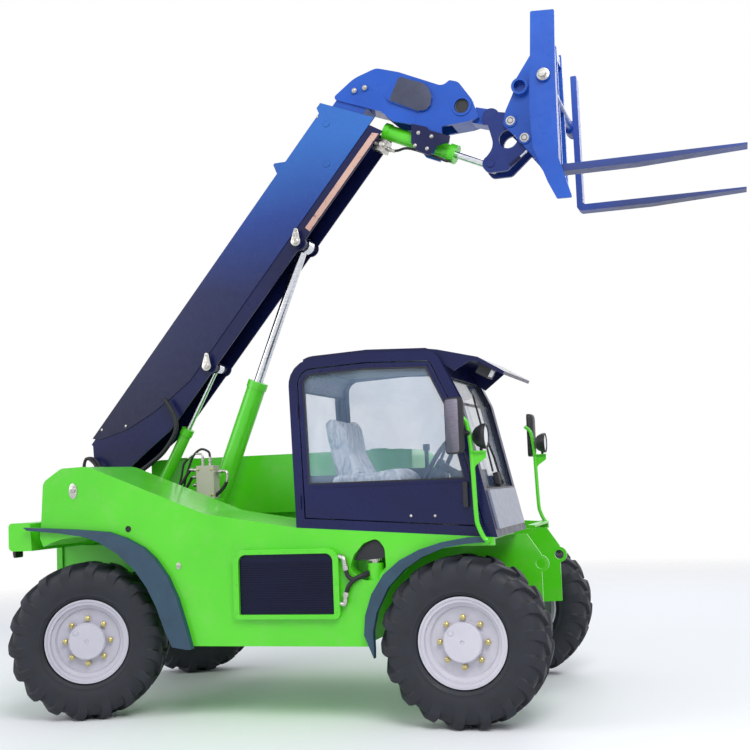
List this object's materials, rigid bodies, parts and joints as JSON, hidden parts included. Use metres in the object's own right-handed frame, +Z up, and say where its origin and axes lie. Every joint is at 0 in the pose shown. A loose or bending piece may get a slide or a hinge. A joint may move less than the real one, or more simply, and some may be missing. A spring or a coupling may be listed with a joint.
{
  "type": "telehandler",
  "caption": "Compact telehandler with a raised telescopic boom, gooseneck head, fork carriage, side cab, engine hood and steered wheels.",
  "frame": {"origin": "on the ground under the middle of the parked machine's outline", "axes": "+X travel direction, +Y left, +Z up"},
  "size_m": [4.7294, 2.3008, 4.2113],
  "materials": {
    "axle_paint": "dark grey painted casting",
    "black_plastic": "moulded black plastic",
    "blue_paint": "blue gloss paint",
    "boom_paint": "navy blue gloss paint",
    "cab_paint": "dark navy gloss paint",
    "cast_engine": "grey casting",
    "chrome_rod": "polished hard chrome",
    "glass": "clear tinted safety glass",
    "grey_paint": "light grey paint",
    "lime_paint": "lime green gloss paint",
    "rim_paint": "light silver paint",
    "rubber_trim": "matt dark rubber",
    "seat_fabric": "dark woven cloth",
    "tyre": "matt black rubber",
    "valve_steel": "zinc plated steel",
    "wear_strip": "beige painted steel strip",
    "zinc_steel": "bare bright steel"
  },
  "bodies": {
    "chassis": {"chassis_frame": "lime_paint", "boom_tower": "lime_paint", "counterweight": "lime_paint", "front_axle": "axle_paint", "rear_axle": "axle_paint", "side_body_right": "lime_paint", "side_body_left": "lime_paint", "fender_lips": "rubber_trim", "engine_block": "cast_engine", "cooler_frame": "lime_paint", "cooler_core": "black_plastic", "filler_neck": "zinc_steel", "cab_frame": "cab_paint", "cab_roof": "cab_paint", "cab_glass": "glass", "cab_front_panel": "grey_paint", "dashboard": "black_plastic", "steering_wheel": "black_plastic", "seat_base": "black_plastic", "seat_cushions": "seat_fabric", "joystick_console": "black_plastic", "mirror_rails": "lime_paint", "mirrors": "black_plastic", "headlamps": "black_plastic", "work_lamp": "black_plastic", "valve_block": "valve_steel"},
    "engine_hood": {"engine_cover": "lime_paint"},
    "door": {"cab_door": "cab_paint", "door_glass": "glass", "door_handle": "black_plastic"},
    "boom": {"boom_outer": "boom_paint", "boom_cover": "boom_paint", "boom_rails": "wear_strip"},
    "extension": {"boom_inner": "blue_paint", "boom_head": "blue_paint"},
    "lift_barrel": {"lift_tube": "lime_paint"},
    "lift_ram": {"lift_rod": "chrome_rod"},
    "level_barrel": {"level_tube": "lime_paint"},
    "level_ram": {"level_rod": "chrome_rod"},
    "tilt_barrel": {"tilt_tube": "lime_paint"},
    "tilt_ram": {"tilt_rod": "chrome_rod"},
    "fork_carriage": {"coupler": "blue_paint", "carriage": "blue_paint"},
    "right_fork": {"fork_right": "blue_paint"},
    "left_fork": {"fork_left": "blue_paint"},
    "hub_front_right": {"knuckle_front_right": "axle_paint"},
    "wheel_front_right": {"rim_front_right": "rim_paint", "tyre_front_right": "tyre"},
    "hub_front_left": {"knuckle_front_left": "axle_paint"},
    "wheel_front_left": {"rim_front_left": "rim_paint", "tyre_front_left": "tyre"},
    "hub_rear_right": {"knuckle_rear_right": "axle_paint"},
    "wheel_rear_right": {"rim_rear_right": "rim_paint", "tyre_rear_right": "tyre"},
    "hub_rear_left": {"knuckle_rear_left": "axle_paint"},
    "wheel_rear_left": {"rim_rear_left": "rim_paint", "tyre_rear_left": "tyre"}
  },
  "joints": [
    {"name": "boom_lift", "type": "hinge", "parent": "chassis", "child": "boom", "pos_m": [-2.14531, 0.14, 1.48], "axis": [0, -1, 0], "range_deg": [-51, 14]},
    {"name": "boom_extend", "type": "slide", "parent": "boom", "child": "extension", "axis": [0.6455, 0, 0.7638], "range_m": [0, 2.3]},
    {"name": "carriage_tilt", "type": "hinge", "parent": "extension", "child": "fork_carriage", "pos_m": [0.77069, 0.14, 3.763], "axis": [0, 1, 0], "range_deg": [-65, 40]},
    {"name": "fork_right_shift", "type": "slide", "parent": "fork_carriage", "child": "right_fork", "axis": [0, 1, 0], "range_m": [0, 0.32]},
    {"name": "fork_left_shift", "type": "slide", "parent": "fork_carriage", "child": "left_fork", "axis": [0, -1, 0], "range_m": [0, 0.32]},
    {"name": "lift_barrel_pivot", "type": "hinge", "parent": "chassis", "child": "lift_barrel", "pos_m": [-1.57231, 0.14, 0.7], "axis": [0, -1, 0], "range_deg": [-46, 13]},
    {"name": "lift_ram_slide", "type": "slide", "parent": "lift_barrel", "child": "lift_ram", "axis": [0.3778, 0, 0.9259], "range_m": [-0.83, 0.23]},
    {"name": "level_barrel_pivot", "type": "hinge", "parent": "chassis", "child": "level_barrel", "pos_m": [-1.90531, 0.14, 1.17], "axis": [0, -1, 0], "range_deg": [-50, 14]},
    {"name": "level_ram_slide", "type": "slide", "parent": "level_barrel", "child": "level_ram", "axis": [0.4866, 0, 0.8736], "range_m": [-0.34, 0.1]},
    {"name": "tilt_barrel_pivot", "type": "hinge", "parent": "extension", "child": "tilt_barrel", "pos_m": [0.32469, 0.14, 3.645], "axis": [0, -1, 0], "range_deg": [-13, 20]},
    {"name": "tilt_ram_slide", "type": "slide", "parent": "tilt_barrel", "child": "tilt_ram", "axis": [0.9107, 0, -0.413], "range_m": [-0.19, 0.305]},
    {"name": "cab_door_hinge", "type": "hinge", "parent": "chassis", "child": "door", "pos_m": [-0.27331, -0.936, 1.5], "axis": [0, 0, -1], "range_deg": [0, 85]},
    {"name": "engine_hood_hinge", "type": "hinge", "parent": "chassis", "child": "engine_hood", "pos_m": [-0.94531, 0.33, 1.612], "axis": [1, 0, 0], "range_deg": [0, 60]},
    {"name": "front_right_steer", "type": "hinge", "parent": "chassis", "child": "hub_front_right", "pos_m": [0.67469, -0.665, 0.48], "axis": [0, 0, 1], "range_deg": [-32, 32]},
    {"name": "front_right_roll", "type": "hinge", "parent": "hub_front_right", "child": "wheel_front_right", "pos_m": [0.67469, -0.84, 0.48], "axis": [0, 1, 0], "continuous": true},
    {"name": "front_left_steer", "type": "hinge", "parent": "chassis", "child": "hub_front_left", "pos_m": [0.67469, 0.665, 0.48], "axis": [0, 0, 1], "range_deg": [-32, 32]},
    {"name": "front_left_roll", "type": "hinge", "parent": "hub_front_left", "child": "wheel_front_left", "pos_m": [0.67469, 0.84, 0.48], "axis": [0, 1, 0], "continuous": true},
    {"name": "rear_right_steer", "type": "hinge", "parent": "chassis", "child": "hub_rear_right", "pos_m": [-1.81531, -0.665, 0.48], "axis": [0, 0, 1], "range_deg": [-52, 12]},
    {"name": "rear_right_roll", "type": "hinge", "parent": "hub_rear_right", "child": "wheel_rear_right", "pos_m": [-1.75545, -0.82945, 0.48], "axis": [-0.342, 0.9397, 0], "continuous": true},
    {"name": "rear_left_steer", "type": "hinge", "parent": "chassis", "child": "hub_rear_left", "pos_m": [-1.81531, 0.665, 0.48], "axis": [0, 0, 1], "range_deg": [-52, 12]},
    {"name": "rear_left_roll", "type": "hinge", "parent": "hub_rear_left", "child": "wheel_rear_left", "pos_m": [-1.87516, 0.82945, 0.48], "axis": [-0.342, 0.9397, 0], "continuous": true}
  ],
  "couplings": [
    {"joint": "lift_barrel_pivot", "follows": "boom_lift", "ratio": 0.89},
    {"joint": "lift_ram_slide", "follows": "boom_lift", "m_per_rad": 0.92},
    {"joint": "level_barrel_pivot", "follows": "boom_lift", "ratio": 0.97},
    {"joint": "level_ram_slide", "follows": "boom_lift", "m_per_rad": 0.37},
    {"joint": "tilt_barrel_pivot", "follows": "carriage_tilt", "ratio": -0.3},
    {"joint": "tilt_ram_slide", "follows": "carriage_tilt", "m_per_rad": -0.264},
    {"joint": "front_left_steer", "follows": "front_right_steer", "ratio": 1},
    {"joint": "rear_left_steer", "follows": "rear_right_steer", "ratio": 1}
  ]
}
